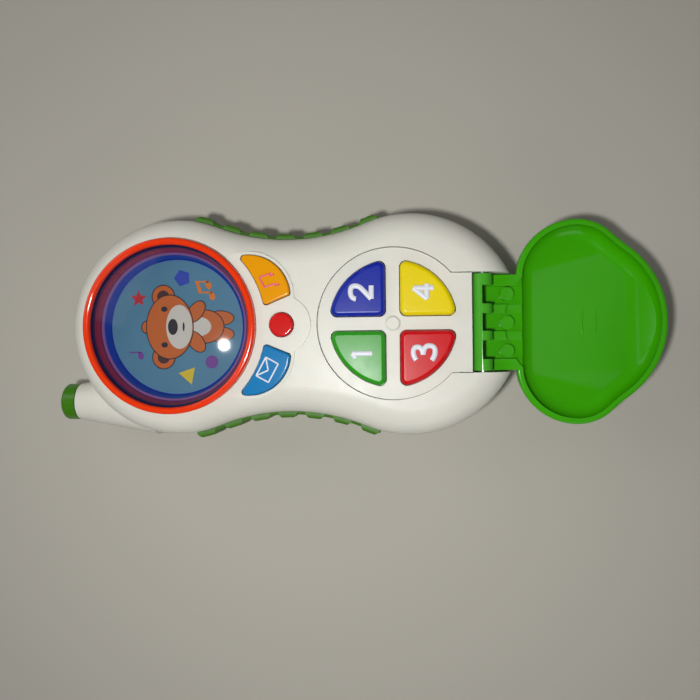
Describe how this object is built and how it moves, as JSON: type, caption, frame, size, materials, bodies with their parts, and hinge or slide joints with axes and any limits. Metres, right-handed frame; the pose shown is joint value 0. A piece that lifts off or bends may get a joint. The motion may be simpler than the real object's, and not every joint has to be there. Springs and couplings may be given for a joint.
{
  "type": "toy cell phone",
  "caption": "Two-lobed baby phone with a picture window, coloured quarter-disc keys, function buttons, ribbed grips, stub antenna and a flip lid.",
  "frame": {"origin": "under the middle of the whole toy with the lid open, on the surface it lies on", "axes": "+X from the picture window to the lid, +Y to the music button side, +Z out of the keypad"},
  "size_m": [0.204, 0.0752, 0.0376],
  "materials": {
    "white_body": "gloss",
    "green_grip": "satin",
    "green_lid": "gloss",
    "green_tip": "gloss",
    "orange_ring": "gloss",
    "clear_lens": "gloss",
    "blue_cup": "gloss",
    "card": "satin",
    "key_green": "gloss",
    "key_blue": "gloss",
    "key_red": "gloss",
    "key_yellow": "gloss",
    "orange_button": "gloss",
    "blue_button": "gloss",
    "red_button": "gloss",
    "steel": "satin",
    "silicone": "matte",
    "board": "matte",
    "black": "matte",
    "lamp": "gloss",
    "cell": "gloss"
  },
  "bodies": {
    "case": {"front_shell": "white_body", "rear_shell": "white_body", "left_grip": "green_grip", "right_grip": "green_grip", "antenna_base": "white_body", "antenna_tip": "green_tip", "screen_bezel": "orange_ring", "screen_lens": "clear_lens", "screen_cup": "blue_cup", "picture_card": "card", "keypad_plate": "white_body", "hinge_pins": "steel", "main_board": "board", "board_screws": "steel", "chip_blob": "black", "keypad_pad": "silicone", "button_pad": "silicone", "head_board": "board", "leds": "lamp", "battery_1": "cell", "battery_2": "cell", "battery_contacts": "steel", "battery_door": "white_body", "battery_door_screw": "steel", "speaker": "black", "power_switch": "black", "case_screws": "steel"},
    "lid": {"flip_cover": "green_lid"},
    "key_1_cap": {"key_1": "key_green"},
    "key_2_cap": {"key_2": "key_blue"},
    "key_3_cap": {"key_3": "key_red"},
    "key_4_cap": {"key_4": "key_yellow"},
    "music_cap": {"music_button": "orange_button"},
    "message_cap": {"message_button": "blue_button"},
    "call_cap": {"call_button": "red_button"},
    "switch_knob": {"power_knob": "black"}
  },
  "joints": [
    {"name": "lid_hinge", "type": "hinge", "parent": "case", "child": "lid", "pos_m": [0.0446, 0, 0.0302], "axis": [0, -1, 0], "range_deg": [0, 179]},
    {"name": "key_1_press", "type": "slide", "parent": "case", "child": "key_1_cap", "axis": [0, 0, 1], "range_m": [-0.0012, 0], "stiffness_N_per_m": 1200, "springref_m": 0.0003},
    {"name": "key_2_press", "type": "slide", "parent": "case", "child": "key_2_cap", "axis": [0, 0, 1], "range_m": [-0.0012, 0], "stiffness_N_per_m": 1200, "springref_m": 0.0003},
    {"name": "key_3_press", "type": "slide", "parent": "case", "child": "key_3_cap", "axis": [0, 0, 1], "range_m": [-0.0012, 0], "stiffness_N_per_m": 1200, "springref_m": 0.0003},
    {"name": "key_4_press", "type": "slide", "parent": "case", "child": "key_4_cap", "axis": [0, 0, 1], "range_m": [-0.0012, 0], "stiffness_N_per_m": 1200, "springref_m": 0.0003},
    {"name": "music_press", "type": "slide", "parent": "case", "child": "music_cap", "axis": [0, 0, 1], "range_m": [-0.0012, 0], "stiffness_N_per_m": 1200, "springref_m": 0.0003},
    {"name": "message_press", "type": "slide", "parent": "case", "child": "message_cap", "axis": [0, 0, 1], "range_m": [-0.0012, 0], "stiffness_N_per_m": 1200, "springref_m": 0.0003},
    {"name": "call_press", "type": "slide", "parent": "case", "child": "call_cap", "axis": [0, 0, 1], "range_m": [-0.0012, 0], "stiffness_N_per_m": 1200, "springref_m": 0.0003},
    {"name": "power_slide", "type": "slide", "parent": "case", "child": "switch_knob", "axis": [1, 0, 0], "range_m": [0, 0.0038]}
  ]
}
